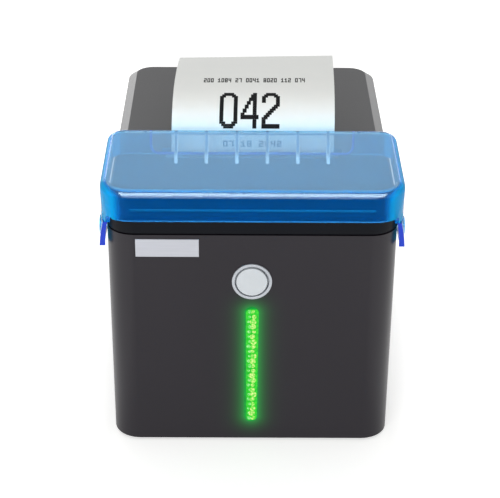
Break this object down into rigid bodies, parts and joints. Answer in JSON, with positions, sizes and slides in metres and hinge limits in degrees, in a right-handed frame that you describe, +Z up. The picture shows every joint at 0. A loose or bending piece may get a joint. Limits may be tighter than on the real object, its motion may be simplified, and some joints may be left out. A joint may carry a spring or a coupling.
{
  "type": "kitchen ticket printer",
  "caption": "Upright counter printer for kitchen tickets, with a clear splash hood over its front, a hinged paper lid, a feed button and a light bar, and a drive, cutter and paper roll inside.",
  "frame": {"origin": "on the resting surface, under the middle of the overall box", "axes": "+X towards the right of someone facing the front, +Y from the front to the rear, +Z up"},
  "size_m": [0.1414, 0.185, 0.1512],
  "materials": {
    "housing_plastic": "charcoal, finely grained moulding",
    "deck_plastic": "near-black, finely grained moulding",
    "lid_plastic": "charcoal, finely grained moulding that looks grey under top light",
    "bucket_plastic": "plain grey moulding",
    "hood_clear": "clear blue-tinted polycarbonate, polished",
    "foot_rubber": "matte",
    "platen_rubber": "ground smooth",
    "steel": "zinc plated",
    "aluminium": "extruded",
    "plate_metal": "satin, bare",
    "bush_brass": "turned",
    "gear_plastic": "natural acetal",
    "silver_plastic": "silver painted",
    "button_plastic": "satin silver-grey",
    "black_plastic": "plain black moulding",
    "light_diffuser": "translucent, lit green from behind",
    "led_resin": "clear resin",
    "circuit_board": "green solder mask on glass-fibre board",
    "ceramic": "glazed ceramic",
    "ribbon_film": "flat flexible cable",
    "paper": "smooth thermal paper",
    "card": "plain brown card tube"
  },
  "bodies": {
    "housing": {"main_housing": "housing_plastic", "base_pan": "deck_plastic", "rubber_feet": "foot_rubber", "base_screws": "steel", "upper_frame": "deck_plastic", "tear_bar": "steel", "name_plate": "plate_metal", "button_bezel": "silver_plastic", "light_bar": "light_diffuser", "panel_board": "circuit_board", "panel_leds": "led_resin", "panel_switch": "black_plastic", "panel_screws": "steel", "roll_bucket": "bucket_plastic", "paper_sensor": "black_plastic", "mech_frame": "steel", "idler_axle": "steel", "thermal_head": "ceramic", "head_heat_sink": "aluminium", "head_spring": "steel", "feed_motor": "steel", "cutter_base": "steel", "cutter_motor": "steel", "head_ribbon": "ribbon_film", "lid_switch": "black_plastic", "hinge_rod": "steel", "hood_pivots": "steel", "main_board": "circuit_board", "board_chips": "black_plastic", "board_screws": "steel", "buzzer": "black_plastic", "power_jack": "black_plastic", "usb_port": "steel", "lan_port": "steel", "drawer_port": "black_plastic", "switch_frame": "black_plastic"},
    "lid": {"top_lid": "lid_plastic", "lid_liner": "bucket_plastic", "liner_screws": "steel", "fixed_blade": "steel", "platen_bushes": "bush_brass"},
    "platen": {"platen_shaft": "steel", "platen_rubber": "platen_rubber", "platen_gear": "gear_plastic"},
    "ticket": {"ticket": "paper"},
    "hood": {"splash_hood": "hood_clear"},
    "feed_button": {"feed_button": "button_plastic"},
    "release_button": {"release_button": "deck_plastic"},
    "cutter_blade": {"moving_blade": "steel", "blade_rack": "gear_plastic"},
    "cutter_pinion": {"cutter_pinion": "gear_plastic"},
    "idler_gear": {"idler_gear": "gear_plastic"},
    "motor_pinion": {"motor_pinion": "gear_plastic"},
    "paper_roll": {"paper_roll": "paper", "roll_core": "card"},
    "power_rocker": {"switch_rocker": "black_plastic"}
  },
  "joints": [
    {"name": "lid_hinge", "type": "hinge", "parent": "housing", "child": "lid", "pos_m": [0, 0.0862, 0.1191], "axis": [-1, 0, 0], "range_deg": [0, 92]},
    {"name": "hood_pivot", "type": "hinge", "parent": "housing", "child": "hood", "pos_m": [0, -0.0723, 0.1108], "axis": [1, 0, 0], "range_deg": [0, 62]},
    {"name": "feed_button_press", "type": "slide", "parent": "housing", "child": "feed_button", "axis": [0, 1, 0], "range_m": [0, 0.001], "stiffness_N_per_m": 800},
    {"name": "release_button_press", "type": "slide", "parent": "housing", "child": "release_button", "axis": [-1, 0, 0], "range_m": [0, 0.002], "stiffness_N_per_m": 800},
    {"name": "ticket_pull", "type": "slide", "parent": "lid", "child": "ticket", "axis": [0, 0, 1], "range_m": [0, 0.03]},
    {"name": "platen_spin", "type": "hinge", "parent": "lid", "child": "platen", "pos_m": [0, -0.0164, 0.1115], "axis": [1, 0, 0], "continuous": true},
    {"name": "idler_spin", "type": "hinge", "parent": "housing", "child": "idler_gear", "pos_m": [-0.0565, -0.0164, 0.0935], "axis": [1, 0, 0], "continuous": true},
    {"name": "motor_pinion_spin", "type": "hinge", "parent": "housing", "child": "motor_pinion", "pos_m": [-0.0565, -0.02682, 0.08271], "axis": [1, 0, 0], "continuous": true},
    {"name": "cutter_slide", "type": "slide", "parent": "housing", "child": "cutter_blade", "axis": [0, 1, 0], "range_m": [0, 0.0052]},
    {"name": "cutter_pinion_spin", "type": "hinge", "parent": "housing", "child": "cutter_pinion", "pos_m": [0.022, -0.051, 0.12], "axis": [0, 0, 1], "range_deg": [-1, 72]},
    {"name": "roll_spin", "type": "hinge", "parent": "housing", "child": "paper_roll", "pos_m": [0, 0.037, 0.0613], "axis": [1, 0, 0], "continuous": true},
    {"name": "power_rocker_tilt", "type": "hinge", "parent": "housing", "child": "power_rocker", "pos_m": [0.046, 0.0869, 0.0315], "axis": [1, 0, 0], "range_deg": [0, 12]}
  ],
  "couplings": [
    {"joint": "idler_spin", "follows": "platen_spin", "ratio": -0.66667},
    {"joint": "motor_pinion_spin", "follows": "platen_spin", "ratio": 1.7143},
    {"joint": "cutter_pinion_spin", "follows": "cutter_slide", "rad_per_m": 238.1}
  ]
}
